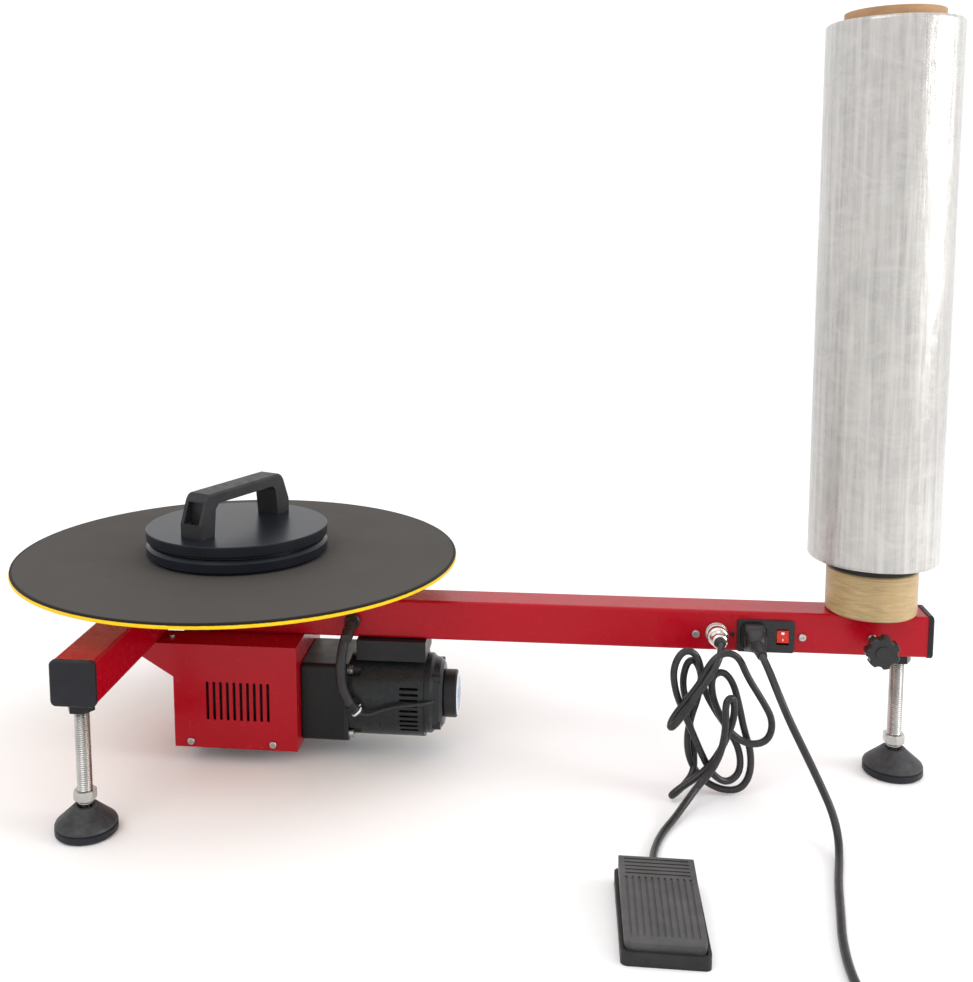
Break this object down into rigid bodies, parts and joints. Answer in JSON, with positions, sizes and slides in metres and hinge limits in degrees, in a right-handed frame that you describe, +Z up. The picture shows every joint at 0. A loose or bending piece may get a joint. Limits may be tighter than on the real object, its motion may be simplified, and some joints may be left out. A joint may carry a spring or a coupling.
{
  "type": "turntable stretch wrapper",
  "caption": "Tabletop carton wrapper: motor-driven turntable on a T-shaped steel frame, hold-down plate with handle, upright stretch film roll, levelling feet and foot pedal.",
  "frame": {"origin": "on the floor at the centre of the machine's own box, cords left out", "axes": "+X along the main beam from the turntable to the film roll, +Y away from the operator, +Z up"},
  "size_m": [0.9159, 0.712, 0.7275],
  "materials": {
    "red_paint": "gloss red powder coat",
    "cap_plastic": "black moulded plastic",
    "bright_steel": "zinc-plated steel",
    "turned_steel": "machined steel",
    "stator_iron": "laminated iron core",
    "motor_black": "black painted die casting",
    "cord_black": "black cable jacket",
    "switch_black": "black moulded plastic",
    "rocker_red": "red moulded rocker",
    "connector_plate": "nickel-plated",
    "circuit_green": "circuit board",
    "board_yellow": "plywood with a yellow painted edge",
    "mat_rubber": "fine matt rubber",
    "press_black": "black anodised aluminium",
    "collar_wood": "pale turned wood",
    "ring_rubber": "black rubber",
    "core_kraft": "wound kraft board",
    "film_clear": "wound clear stretch film",
    "hub_nylon": "white nylon",
    "pedal_grey": "dark grey moulded plastic"
  },
  "bodies": {
    "frame": {"main_beam": "red_paint", "crossbar": "red_paint", "drive_cover": "red_paint", "bearing_tube": "red_paint", "gear_bracket": "red_paint", "tube_end_caps": "cap_plastic", "motor_cap": "cap_plastic", "terminal_box": "cap_plastic", "case_screws": "bright_steel", "gearhead_bolts": "bright_steel", "pedal_pin": "bright_steel", "pedal_spring": "bright_steel", "spindle_bearings": "turned_steel", "motor_stator": "stator_iron", "gearhead_case": "motor_black", "motor_housing": "motor_black", "motor_end_bell": "motor_black", "cable_conduit": "cord_black", "motor_lead": "cord_black", "pedal_cord_hank": "cord_black", "pedal_cord_tail": "cord_black", "mains_cord": "cord_black", "mains_coil": "cord_black", "inlet_plug": "cord_black", "mains_plug": "cord_black", "inlet_module": "switch_black", "pedal_socket": "connector_plate", "pedal_plug": "connector_plate", "control_board": "circuit_green", "pedal_base": "pedal_grey", "pedal_switch": "pedal_grey"},
    "turntable": {"turntable_board": "board_yellow", "turntable_mat": "mat_rubber", "hub_screws": "bright_steel", "spindle": "turned_steel", "bevel_gear": "turned_steel"},
    "output_drive": {"output_shaft": "turned_steel", "bevel_pinion": "turned_steel"},
    "idler": {"idler_gear": "turned_steel"},
    "rotor": {"motor_rotor": "turned_steel"},
    "press_base": {"press_lower_disc": "press_black", "press_bearing": "turned_steel"},
    "press_top": {"press_upper_disc": "press_black", "press_handle": "cap_plastic"},
    "mandrel": {"mandrel_post": "bright_steel", "wood_collar": "collar_wood", "thrust_ring": "ring_rubber"},
    "film": {"film_core": "core_kraft", "film_roll": "film_clear", "core_hubs": "hub_nylon"},
    "clamp": {"clamp_screw": "bright_steel"},
    "knob": {"star_knob": "switch_black"},
    "rocker": {"rocker_switch": "rocker_red"},
    "treadle": {"pedal_treadle": "pedal_grey"},
    "front_foot_leg": {"front_foot_stud": "bright_steel"},
    "front_foot_swivel": {"front_foot_pad": "cap_plastic"},
    "rear_foot_leg": {"rear_foot_stud": "bright_steel"},
    "rear_foot_swivel": {"rear_foot_pad": "cap_plastic"},
    "beam_foot_leg": {"beam_foot_stud": "bright_steel"},
    "beam_foot_swivel": {"beam_foot_pad": "cap_plastic"}
  },
  "joints": [
    {"name": "turntable_spin", "type": "hinge", "parent": "frame", "child": "turntable", "pos_m": [-0.232, 0.0565, 0.18], "axis": [0, 0, 1], "continuous": true},
    {"name": "output_spin", "type": "hinge", "parent": "frame", "child": "output_drive", "pos_m": [-0.172, 0.0565, 0.0515], "axis": [1, 0, 0], "continuous": true},
    {"name": "idler_spin", "type": "hinge", "parent": "frame", "child": "idler", "pos_m": [-0.137, 0.07439, 0.05951], "axis": [1, 0, 0], "continuous": true},
    {"name": "rotor_spin", "type": "hinge", "parent": "frame", "child": "rotor", "pos_m": [-0.082, 0.0565, 0.0615], "axis": [1, 0, 0], "continuous": true},
    {"name": "press_lift", "type": "slide", "parent": "turntable", "child": "press_base", "axis": [0, 0, 1], "range_m": [0, 0.35]},
    {"name": "press_swivel", "type": "hinge", "parent": "press_base", "child": "press_top", "pos_m": [-0.232, 0.0565, 0.2155], "axis": [0, 0, 1], "continuous": true},
    {"name": "mandrel_lift", "type": "slide", "parent": "frame", "child": "mandrel", "axis": [0, 0, 1], "range_m": [0, 0.03]},
    {"name": "film_spin", "type": "hinge", "parent": "mandrel", "child": "film", "pos_m": [0.398, 0.0565, 0.4], "axis": [0, 0, 1], "continuous": true},
    {"name": "clamp_slide", "type": "slide", "parent": "frame", "child": "clamp", "axis": [0, -1, 0], "range_m": [0, 0.005]},
    {"name": "knob_turn", "type": "hinge", "parent": "clamp", "child": "knob", "pos_m": [0.396, 0.0065, 0.142], "axis": [0, -1, 0], "range_deg": [0, 1440]},
    {"name": "rocker_tip", "type": "hinge", "parent": "frame", "child": "rocker", "pos_m": [0.3123, 0.041, 0.1411], "axis": [1, 0, 0], "range_deg": [0, 11]},
    {"name": "treadle_press", "type": "hinge", "parent": "frame", "child": "treadle", "pos_m": [0.178, -0.1825, 0.014], "axis": [1, 0, 0], "range_deg": [0, 3.5], "stiffness_Nm_per_rad": 2, "springref_deg": -5, "deforming": ["pedal_spring"]},
    {"name": "front_foot_height", "type": "slide", "parent": "frame", "child": "front_foot_leg", "axis": [0, 0, 1], "range_m": [-0.02, 0.01]},
    {"name": "front_foot_tilt", "type": "hinge", "parent": "front_foot_leg", "child": "front_foot_swivel", "pos_m": [-0.3216, -0.1435, 0.017], "axis": [1, 0, 0], "range_deg": [-8, 8]},
    {"name": "rear_foot_height", "type": "slide", "parent": "frame", "child": "rear_foot_leg", "axis": [0, 0, 1], "range_m": [-0.02, 0.01]},
    {"name": "rear_foot_tilt", "type": "hinge", "parent": "rear_foot_leg", "child": "rear_foot_swivel", "pos_m": [-0.3216, 0.2565, 0.017], "axis": [1, 0, 0], "range_deg": [-8, 8]},
    {"name": "beam_foot_height", "type": "slide", "parent": "frame", "child": "beam_foot_leg", "axis": [0, 0, 1], "range_m": [-0.02, 0.01]},
    {"name": "beam_foot_tilt", "type": "hinge", "parent": "beam_foot_leg", "child": "beam_foot_swivel", "pos_m": [0.425, 0.0565, 0.017], "axis": [1, 0, 0], "range_deg": [-8, 8]}
  ],
  "couplings": [
    {"joint": "output_spin", "follows": "turntable_spin", "ratio": -2},
    {"joint": "idler_spin", "follows": "turntable_spin", "ratio": 6},
    {"joint": "rotor_spin", "follows": "turntable_spin", "ratio": -24},
    {"joint": "knob_turn", "follows": "clamp_slide", "rad_per_m": 5026.5}
  ]
}
